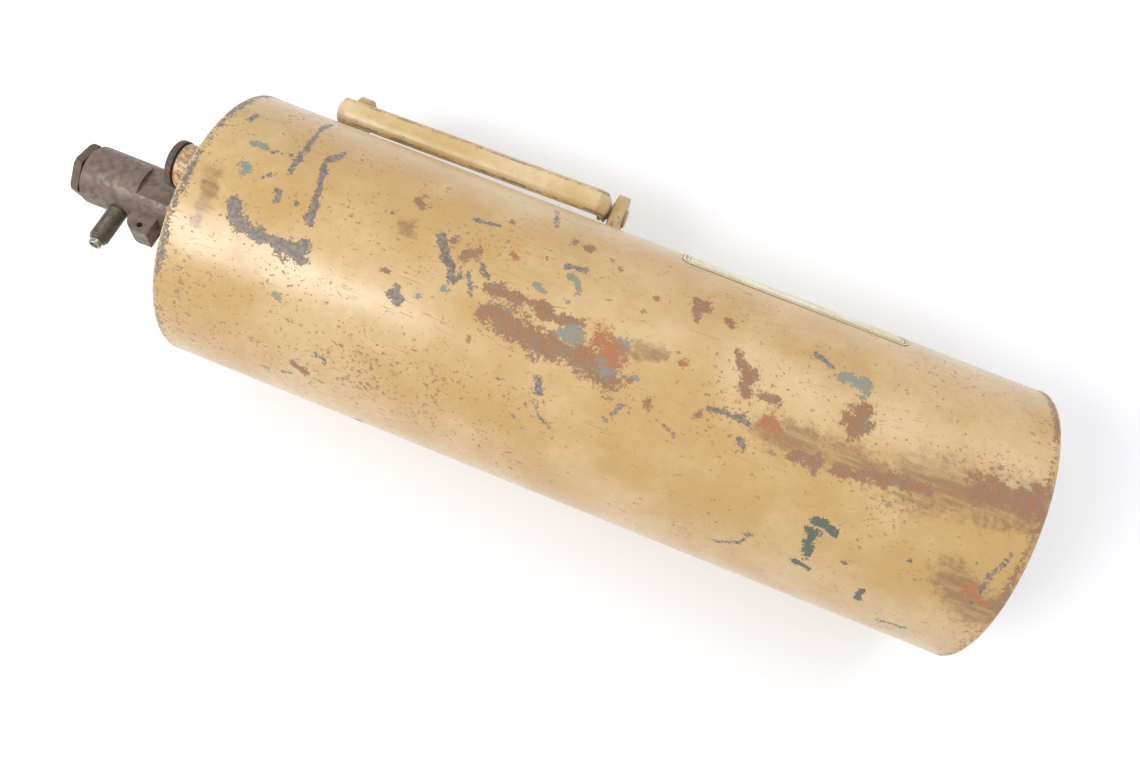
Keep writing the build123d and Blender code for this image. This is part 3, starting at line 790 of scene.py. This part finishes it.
class Finishes:
    """All the object's materials, each made once."""

    def __init__(self) -> None:
        """Makes every finish."""
        self.enamel = WornEnamel().material()
        # the handle's enamel is a paler copy of the barrel's: its lighter, paler paint is painted light,
        # standing in for the brighter light and highlight on the grip
        self.lit_handle_enamel = WornEnamel(
            name="handle_enamel_painted_lighter", speck_cover=0.7, gloss=0.3, paint="#C2A56C", paint_pale="#D2BC92"
        ).material()
        self.fitting_enamel = WornEnamel(name="worn_fitting_enamel", speck_cover=0.56, gloss=0.42).material()
        self.neck_enamel = WornEnamel(
            name="rusted_neck_enamel", speck_cover=0.44, gloss=0.45, paint="#B08A55", rust_brown="#84583C"
        ).material()
        self.valve_steel = Patina(
            "browned_valve_steel", "#77695E", "#5F534B", "#7B604C", "#96623F",
            roughness=0.46, metallic=0.18, relief=0.08, cloud_size=3.0, speck_size=0.7,
        ).material()
        self.gland_brass = Patina(
            "tarnished_gland_brass", "#594840", "#665142", "#4E4138", "#7A563E", metallic=0.3, cloud_size=2.6
        ).material()
        self.nipple_steel = Patina(
            "oiled_nipple_steel", "#6A6152", "#565046", "#6C5B48", "#453E37", bright="#9A958C",
            cloud_size=2.5, speck_size=0.5, metallic=0.6, roughness=0.42, relief=0.02,
        ).material()
        self.core_brass = Patina(
            "dull_core_brass", "#8C7247", "#6F5638", "#5E4632", "#473628",
            cloud_size=1.2, speck_size=0.4, metallic=0.8, roughness=0.45, relief=0.01,
        ).material()
        self.copper = Patina(
            "dull_copper", "#8A5B44", "#6D4A3A", "#5C463A", "#3F4A40", cloud_size=2.0, metallic=0.8, relief=0.02
        ).material()
        self.rubber = Patina(
            "aged_black_rubber", "#24211F", "#2E2A27", "#3A322B", "#45392F",
            cloud_size=2.0, metallic=0.0, roughness=0.8, relief=0.03,
        ).material()
        self.plug_steel = Patina(
            "rusted_plug_steel", "#5C5048", "#473E38", "#744C35", "#965B39",
            cloud_size=2.2, speck_size=0.9, metallic=0.3, roughness=0.6, relief=0.12, stain_share=0.7,
        ).material()
        self.tube_steel = Patina(
            "drawn_steel_tube", "#8D8A85", "#7C7873", "#8A7B68", "#6A5F54",
            metallic=0.9, roughness=0.35, relief=0.01,
        ).material()
        self.film = TransferFilm().material()
        self.paper = StudioPaper().material()


# ---------------------------------------------------------------- sub-assemblies


@dataclass
class Barrel:
    """The rolled sheet shell with its turned-in lips, slightly dented and worn."""

    wall: float = 1.5
    rim_round: float = 2.0
    lip_inside: float = 51.95
    lip_rounds: tuple[float, ...] = (0, 1.99, 0.5, 0.35, 0.2, 0)
    around: int = 320
    along: int = 268
    swell: float = 0.12
    rim_wear: float = 0.75
    rim_band: float = 2.5
    speckled_arc: float = 52.0
    eased_end: float = 10.0
    dents: tuple[tuple[float, float, float, float], ...] = (
        (-148, -16, 9, 0.45), (-129, -22, 8, 0.35), (-137, 30, 11, 0.3), (-60, 52, 16, 0.35),
        (12, -14, 7, 0.25), (66, -4, 12, 0.3), (132, -30, 14, 0.35), (96, -46, 9, 0.3),
        (-20, 140, 14, 0.5), (60, -130, 12, 0.4), (-110, -120, 13, 0.4),
    )

    def profile(self) -> tuple[Array, Array]:
        """The wall's closed outline as x and r: outside, rim, lip, inside and back.

        Returns:
            The outline's places along the axis and distances from it, in mm.
        """
        half, radius = AXIS.half, AXIS.radius
        straight_end, inner_face, inside = half - self.rim_round, half - self.wall, radius - self.wall
        outside = np.stack([np.linspace(-straight_end, straight_end, self.along)] * 2, axis=-1)
        outside[:, 1] = radius
        corners = (
            (straight_end, radius), (half, radius), (half, self.lip_inside), (inner_face, self.lip_inside),
            (inner_face, inside), (0, inside),
        )
        lip = rounded_line(corners, self.lip_rounds)[1:]
        other = lip[::-1][1:] * np.array([-1, 1])
        line = np.concatenate([outside, lip, other])
        return line[:, 0], line[:, 1]

    def sink(self, x: Array, arc: Array) -> Array:
        """How far the sheet lies under its true radius.

        Broad swells are sums of slow sines along and round the barrel, and each dent is a bell curve.

        Args:
            x: places along the barrel, in mm.
            arc: places round it, in mm.

        Returns:
            Depths in mm, never negative.
        """
        turn, half_round = arc / AXIS.radius, math.pi * AXIS.radius
        waves = np.sin(x / 31 + 2 * turn) + np.sin(x / 17 - 3 * turn + 1.3) * 0.6
        waves = waves + np.sin(5 * turn + x / 60 + 0.4) * 0.7
        highest = 2.3
        depth = self.swell * (waves + highest) / (2 * highest)
        for px, angle, spread, deep in self.dents:
            away = arc - math.radians(angle) * AXIS.radius
            away = (away + half_round) % (2 * half_round) - half_round
            depth = depth + deep * np.exp(-(((x - px) / spread) ** 2) - (away / spread) ** 2)
        return depth

    def wear(self, x: Array, r: Array, arc: Array) -> dict[str, Array]:
        """The wear attributes at each point of the shell.

        Args:
            x: places along the axis, in mm.
            r: distances from the axis, in mm.
            arc: places round the barrel, in mm.

        Returns:
            Each attribute's values by name.
        """
        layers = {wear.value: np.zeros(x.shape) for wear in Wear}
        for mark in BARREL_MARKS:
            key = mark.wear.value
            layers[key] = np.maximum(layers[key], mark.depth(x, arc, AXIS.radius))
        outer = smooth_step(AXIS.radius - self.wall + 0.3, AXIS.radius - 0.6, r)
        for key in layers:
            layers[key] = layers[key] * outer
        # a band just inside each rim is rubbed: to grey metal at the valve end, to brown rust at the base end
        to_end = AXIS.half - np.abs(x)
        from_rim = to_end + (AXIS.radius - r) / 2
        uneven = 0.5 * np.sin(arc / 13 + x / 50) + 0.4 * np.sin(arc / 5.3 + 1) + 0.3 * np.sin(arc / 31)
        rubbed = np.clip(0.5 + (self.rim_wear + uneven * 0.9 - np.abs(from_rim - self.rim_band)) / 5, 0, 1)
        for wear, here in ((Wear.BARE, x < 0), (Wear.RUST, x > 0)):
            layers[wear.value] = np.maximum(layers[wear.value], rubbed * here)
        low_side = np.exp(-(((arc + self.speckled_arc) / 22) ** 2)) * smooth_step(60, -120, x)
        near_rim = np.exp(-(to_end / 12))
        layers["speckle"] = np.clip(0.35 + 0.5 * low_side + 0.45 * near_rim, 0, 1)
        return layers

    def build(self) -> bpy.types.Object:
        """The shell as its outline carried once round the axis.

        Returns:
            The shell.
        """
        line_x, line_r = self.profile()
        psi = np.linspace(-math.pi, math.pi, self.around, endpoint=False)
        x, turn = np.meshgrid(line_x, psi, indexing="ij")
        r = np.repeat(line_r[:, None], self.around, axis=1)
        arc = turn * AXIS.radius
        ease = smooth_step(0.0, self.eased_end, AXIS.half - np.abs(x))
        points = AXIS.place(x, r - self.sink(x, arc) * ease, turn)
        return grid_piece("vessel_shell", points, closed_rows=True, attributes=self.wear(x, r, arc))

    def dress(self, finishes: Finishes) -> None:
        """Builds the shell and puts it in the place of its node."""
        settle(self.build(), "vessel", "barrel_shell", finishes.enamel)
        dress_nodes(finishes.fitting_enamel, "top_head", "base_head", "seam_strip")


@dataclass
class CarryingHandle:
    """The strap handle folded against the barrel, with its lug plates, pins and welds."""

    length: float = 120.0
    reach: float = 20.5
    width: float = 10.4
    thickness: float = 2.4
    bend_valve: float = 6.0
    cut_base: float = 4.0
    lean: float = 13.4
    skew: float = 0.9
    middle: float = -80.4
    pivot_out: float = 65.5
    pivot_height: float = -8.0
    crown: float = 1.5
    edge_power: float = 0.42
    thinnest: float = 0.15
    ridge: tuple[float, float] = (0.82, 0.1)
    lug_edge: float = 0.7
    pin_edge: float = 0.45
    around: int = 56
    tip_steps: int = 14
    step: float = 0.9

    def centre_line(self) -> Array:
        """The strap's middle line, up one leg, along the grip and down the other.

        Returns:
            A row for each point: x along the grip, y from the pivots towards it, and the way run, in mm.
        """
        half = (self.length - self.thickness) / 2
        top = self.reach - self.thickness / 2
        tip = -self.width / 2
        inset = self.thickness / 2
        cut = self.cut_base - inset * (2 - math.sqrt(2))
        corners = ((-half, tip), (-half, top), (half - cut, top), (half, top - cut), (half, tip))
        line = rounded_line(corners, (0, self.bend_valve - inset, 0.8, 1.2, 0), steps=10)
        run = np.concatenate([[0], np.cumsum(np.linalg.norm(np.diff(line, axis=0), axis=1))])
        near_tip = self.width / 2 * (1 - np.cos(np.linspace(0, math.pi / 2, self.tip_steps)))
        first, last = near_tip[-1], run[-1] - near_tip[-1]
        middle = np.unique(np.concatenate([np.arange(first, last, self.step), run[1:-1]]))
        middle = middle[(middle > first) & (middle < last)]
        stations = np.concatenate([near_tip, middle, run[-1] - near_tip[::-1]])
        x, y = (np.interp(stations, run, line[:, k]) for k in range(2))
        return np.stack([x, y, stations], axis=-1)

    def build(self) -> bpy.types.Object:
        """The strap: a crowned, round-edged section carried along its middle line.

        The section is a superellipse, with the cosine and sine of its angle raised to a small power, and
        its outer side is lowered by the crown times the square of the place across. Near each tip the
        width shrinks as a circle does, so the strap ends in a round eye.

        Returns:
            The handle.
        """
        line = self.centre_line()
        ahead = np.gradient(line[:, :2], line[:, 2] + np.arange(len(line)) * 1e-9, axis=0)
        ahead /= np.linalg.norm(ahead, axis=1, keepdims=True)
        out = np.stack([-ahead[:, 1], ahead[:, 0]], axis=-1)
        phi = np.linspace(0, 2 * math.pi, self.around, endpoint=False)
        waves = (np.cos(phi), np.sin(phi))
        across, through = (np.sign(wave) * np.abs(wave) ** self.edge_power for wave in waves)
        outer = through[None, :] > 0
        half_width = self.width / 2
        to_tip = np.minimum(line[:, 2] - line[0, 2], line[-1, 2] - line[:, 2])
        shrink = np.sqrt(np.clip(1 - ((half_width - np.minimum(to_tip, half_width)) / half_width) ** 2, 0, 1))
        z = across[None, :] * (half_width * shrink)[:, None]
        n = through[None, :] * self.thickness / 2 - self.crown * (z / half_width) ** 2 * outer
        n = np.where(outer, np.maximum(n, -self.thickness / 2 + self.thinnest), n)
        n[[0, -1]] = 0
        x, y = (line[:, k, None] + out[:, k, None] * n for k in range(2))
        skew, lean = math.radians(self.skew), math.radians(self.lean)
        turned_x = x * math.cos(skew) + z * math.sin(skew)
        turned_z = -x * math.sin(skew) + z * math.cos(skew)
        outwards = self.pivot_out - y * math.sin(lean) - turned_z * math.cos(lean)
        upwards = self.pivot_height + y * math.cos(lean) - turned_z * math.sin(lean)
        local = np.stack([self.middle + turned_x, outwards, upwards], axis=-1)
        # the ridge just inside each long edge is rubbed to the primer
        ridge_place, ridge_width = self.ridge
        edge = np.exp(-(((np.abs(z) / half_width - ridge_place) / ridge_width) ** 2)) * outer
        uneven = 0.16 * np.sin(line[:, 2] / 7.0) + 0.12 * np.sin(line[:, 2] / 2.7 + 1)
        primer = np.clip(edge * (0.6 + uneven[:, None]), 0, 1)
        attributes = {Wear.PRIMER.value: primer}
        return grid_piece("carrying_handle", AXIS.world(local), attributes=attributes, merge=True)

    def dress(self, finishes: Finishes) -> None:
        """Builds the handle and softens the pieces that hold it."""
        paint = finishes.fitting_enamel
        # the handle gets the paler enamel, whose lighter paint is painted light on the grip
        settle(self.build(), "handle", "handle_bail", finishes.lit_handle_enamel)
        for end in ("valve_end", "base_end"):
            soften(f"lug_plate_{end}", f"handle_lug_{end}", self.lug_edge, "vessel", paint)
            soften(f"rivet_{end}", f"pivot_pin_{end}", self.pin_edge, "vessel", paint)
        dress_nodes(paint, "lug_welds", "pivot_washers")


@dataclass
class Valve:
    """The shut-off valve on the top head: body, gland nut, spindle and charging nipple."""

    side: float = -74.0
    offset: float = 0.9
    nipple_height: float = 42.8
    stem_radius: float = 4.0
    stem_start: float = 12.5
    shoulder: float = 27.8
    tip: float = 30.4
    tip_radius: float = 2.6
    bore_radius: float = 2.0
    mouth_radius: float = 1.45
    tip_taper: float = 0.05
    mouth_bevel: float = 0.6
    ring: float = 1.1
    ring_radius: float = 3.5
    root: float = 8.9
    root_radius: float = 3.6
    bore_depth: float = 15.0
    pitch: float = 0.794
    thread_depth: float = 0.38
    rounds: tuple[float, ...] = (0, 0.1, 0.1, 0.35, 0.4, 0.1, 0.4, 0.12, 0.5, 0.15, 0.1, 0.1, 0)
    brightness: float = 0.68
    body_edge: float = 0.35
    nut_edge: float = 0.55
    socket_edge: float = 0.4
    around: int = 48

    def nipple_outline(self) -> Array:
        """The nipple's half section, from its root over the stem and the tip down into its bore.

        Returns:
            A row for each point: the place along the stem and the radius, in mm.
        """
        thread_end, bore_end = self.shoulder - self.ring, self.tip - self.bore_depth
        corners = (
            (self.root, 0), (self.root, self.root_radius), (self.stem_start, self.root_radius),
            (self.stem_start, self.stem_radius), (thread_end, self.stem_radius), (thread_end, self.ring_radius),
            (self.shoulder, self.ring_radius), (self.shoulder, self.tip_radius),
            (self.tip, self.tip_radius - self.tip_taper), (self.tip, self.mouth_radius),
            (self.tip - self.mouth_bevel, self.bore_radius), (bore_end, self.bore_radius), (bore_end, 0),
        )
        return rounded_line(corners, self.rounds, steps=4)

    def nipple(self) -> bpy.types.Object:
        """The charging nipple, a turned profile with a real thread.

        The radius is the profile's, less the thread's depth times a triangle wave of the place along the
        stem over the pitch, less the share of a turn, so that the crest climbs one pitch a turn. The
        thread fades out over its last half turn at both ends.

        Returns:
            The nipple.
        """
        outside = self.nipple_outline()
        run = np.concatenate([[0], np.cumsum(np.linalg.norm(np.diff(outside, axis=0), axis=1))])
        dense = np.unique(np.concatenate([run, np.arange(0, run[-1], self.pitch / 8)]))
        s, r = (np.interp(dense, run, outside[:, k])[:, None] for k in range(2))
        turn = np.linspace(0, 2 * math.pi, self.around, endpoint=False)[None, :]
        saw = (s / self.pitch - turn / (2 * math.pi)) % 1
        triangle = np.abs(saw - 0.5) * 2
        on_outside = dense[:, None] < run[-1] - self.bore_depth - self.bore_radius
        thread_end = self.shoulder - self.ring
        started = smooth_step(self.stem_start + 0.4, self.stem_start + 1.0, s)
        reach = started * (1 - smooth_step(thread_end - 0.7, thread_end - 0.3, s))
        r = r - triangle * self.thread_depth * reach * on_outside
        psi = math.radians(self.side)
        along = np.array([0, math.sin(psi), math.cos(psi)])
        one, two = np.array([1.0, 0, 0]), np.array([0, math.cos(psi), -math.sin(psi)])
        base = np.array([-AXIS.half - self.nipple_height, -self.offset, 0])
        local = base + s[..., None] * along + (r * np.cos(turn))[..., None] * one
        local = local + (r * np.sin(turn))[..., None] * two
        bright = np.broadcast_to(smooth_step(self.shoulder, self.shoulder + 0.8, s) * self.brightness, r.shape)
        return grid_piece("charging_stem", AXIS.world(local), attributes={"bright": bright}, merge=True)

    def dress(self, finishes: Finishes) -> None:
        """Builds the nipple, softens the machined pieces and dresses the rest."""
        settle(self.nipple(), "vessel", "charging_nipple", finishes.nipple_steel)
        for name, node, edge, slot, material in (
            ("valve_casting", "valve_body", self.body_edge, "valve_steel", finishes.valve_steel),
            ("gland_hexagon", "gland_nut", self.nut_edge, "gland_brass", finishes.gland_brass),
            ("neck_socket", "valve_socket", self.socket_edge, "ochre_paint", finishes.neck_enamel),
        ):
            soften(name, node, edge, "vessel", material)
        dress_nodes(finishes.copper, "valve_washer")
        dress_nodes(finishes.valve_steel, "valve_spindle")
        dress_nodes(finishes.rubber, "seat_disc", "gland_packing")
        dress_nodes(finishes.core_brass, "core_sleeve", "core_pin", "strainer")
        dress_nodes(finishes.tube_steel, "core_spring", "dip_tube")


@dataclass
class Filler:
    """The slotted filler plug on its boss."""

    plug_edge: float = 0.3
    boss_edge: float = 0.35

    def dress(self, finishes: Finishes) -> None:
        """Softens the boss and the plug and dresses the gasket."""
        soften("filler_cap", "filler_plug", self.plug_edge, "plug", finishes.plug_steel)
        soften("filler_neck", "filler_boss", self.boss_edge, "vessel", finishes.neck_enamel)
        dress_nodes(finishes.rubber, "filler_gasket")


@dataclass
class Label:
    """The blank label on the barrel's far side."""

    start: float = 15.5
    end: float = 106.3
    angle_from: float = 54.0
    angle_to: float = 150.0
    thickness: float = 0.25
    rim_gap: float = 0.02
    rows: int = 150
    columns: int = 120
    corner: float = 4.0

    def build(self) -> bpy.types.Object:
        """A sheet bent round the barrel, as a grid over its face whose rim is turned down to the barrel.

        Each grid place near a corner is pulled in by its larger overhang past the corner's centre over
        the distance from that centre, so the outline has rounded corners.

        Returns:
            The label.
        """
        half_long = (self.end - self.start) / 2
        half_tall = math.radians(self.angle_to - self.angle_from) * AXIS.radius / 2
        u, v = np.meshgrid(np.linspace(-1, 1, self.rows), np.linspace(-1, 1, self.columns), indexing="ij")
        px, py = u * half_long, v * half_tall
        flat_x, flat_y = half_long - self.corner, half_tall - self.corner
        over_x = np.clip(np.abs(px) - flat_x, 0, None)
        over_y = np.clip(np.abs(py) - flat_y, 0, None)
        biggest = np.maximum(over_x, over_y)
        pull = np.where((over_x > 0) & (over_y > 0), biggest / np.maximum(np.hypot(over_x, over_y), 1e-9), 1.0)
        px = np.sign(px) * (np.minimum(np.abs(px), flat_x) + over_x * pull)
        py = np.sign(py) * (np.minimum(np.abs(py), flat_y) + over_y * pull)
        inner = np.hypot(np.clip(np.abs(px) - flat_x, 0, None), np.clip(np.abs(py) - flat_y, 0, None))
        straight = np.minimum(half_long - np.abs(px), half_tall - np.abs(py))
        from_edge = np.where(inner > 0, np.minimum(self.corner - inner, straight), straight)
        x = (self.start + self.end) / 2 + px
        middle = math.radians((self.angle_from + self.angle_to) / 2)
        psi = middle + py / AXIS.radius
        low = AXIS.place(x, AXIS.radius + self.rim_gap, psi)
        points = np.pad(low, ((1, 1), (1, 1), (0, 0)), mode="edge")
        points[1:-1, 1:-1] = AXIS.place(x, AXIS.radius + self.thickness, psi)
        attributes = {"from_edge": np.pad(from_edge, 1, mode="edge")}
        return grid_piece("blank_label", points, attributes=attributes, wrap=False, merge=True)

    def dress(self, finishes: Finishes) -> None:
        """Builds the label and puts it in the place of its node."""
        settle(self.build(), "vessel", "label", finishes.film)


# ---------------------------------------------------------------- studio


@dataclass
class Studio:
    """White paper, soft boxes and the camera."""

    floor_half: float = 3.0
    floor_height: float = -0.0002
    camera_place: tuple[float, float, float] = (0.05311, -0.09141, 0.47517)
    camera_right: tuple[float, float, float] = (0.92757, 0.37363, 0.0)
    camera_up: tuple[float, float, float] = (-0.36706, 0.91126, 0.18670)
    lens: float = 33.56
    sensor: float = 36.0
    clip: tuple[float, float] = (0.01, 50.0)
    room_tint: str = "#FBFCFF"
    room_light: float = 0.84
    boxes: tuple[tuple[str, tuple, tuple, float, float, float], ...] = (
        ("key_box", (-0.54, -0.48, 1.00), (-0.10, -0.03, 0.10), 0.46, 0.46, 7.2),
        ("long_box", (-0.20, -1.10, 0.95), (-0.05, -0.03, 0.10), 0.9, 0.35, 0.9),
        ("top_box", (0.35, 0.75, 1.20), (0.05, 0.0, 0.08), 0.9, 0.9, 4.8),
    )

    def build(self, finishes: Finishes) -> None:
        """Makes the floor, the lights, the room's light and the camera."""
        self.floor(finishes)
        for name, place, aim, wide, tall, power in self.boxes:
            data = bpy.data.lights.new(name, "AREA")
            data.shape = "RECTANGLE"
            data.size, data.size_y, data.energy = wide, tall, power
            lamp = bpy.data.objects.new(name, data)
            facing = (Vector(place) - Vector(aim)).to_track_quat("Z", "Y").to_matrix().to_4x4()
            lamp.matrix_world = Matrix.Translation(place) @ facing
            bpy.context.scene.collection.objects.link(lamp)
        world = bpy.data.worlds.new("white_room")
        world.use_nodes = True
        background = world.node_tree.nodes["Background"]
        background.inputs["Color"].default_value = linear(self.room_tint)
        background.inputs["Strength"].default_value = self.room_light
        bpy.context.scene.world = world
        bpy.context.scene.view_settings.view_transform = "Standard"
        self.camera()

    def floor(self, finishes: Finishes) -> None:
        """A square of paper just under the height that the object rests on."""
        side = np.linspace(-self.floor_half, self.floor_half, 9)
        x, y = np.meshgrid(side, side, indexing="ij")
        places = np.stack([x, y, np.full_like(x, self.floor_height)], axis=-1)
        paper = grid_piece("paper_floor", places, wrap=False)
        paper.data.materials.append(finishes.paper)
        if paper.data.polygons[0].normal.z < 0:
            paper.data.flip_normals()

    def camera(self) -> None:
        """The camera, looking down on the object from a little in front of it."""
        right, up = Vector(self.camera_right).normalized(), Vector(self.camera_up)
        back = right.cross(up).normalized()
        up = back.cross(right)
        data = bpy.data.cameras.new("camera")
        data.lens, data.sensor_width, data.sensor_fit = self.lens, self.sensor, "HORIZONTAL"
        data.clip_start, data.clip_end = self.clip
        camera = bpy.data.objects.new("camera", data)
        turned = Matrix((right, up, back)).transposed().to_4x4()
        camera.matrix_world = Matrix.Translation(self.camera_place) @ turned
        bpy.context.scene.collection.objects.link(camera)
        bpy.context.scene.camera = camera


def main() -> None:
    """Builds every sub-assembly around the frame, and the studio."""
    finishes = Finishes()
    for part in (Barrel(), CarryingHandle(), Valve(), Filler(), Label()):
        part.dress(finishes)
    Studio().build(finishes)


if __name__ == "__main__":
    main()
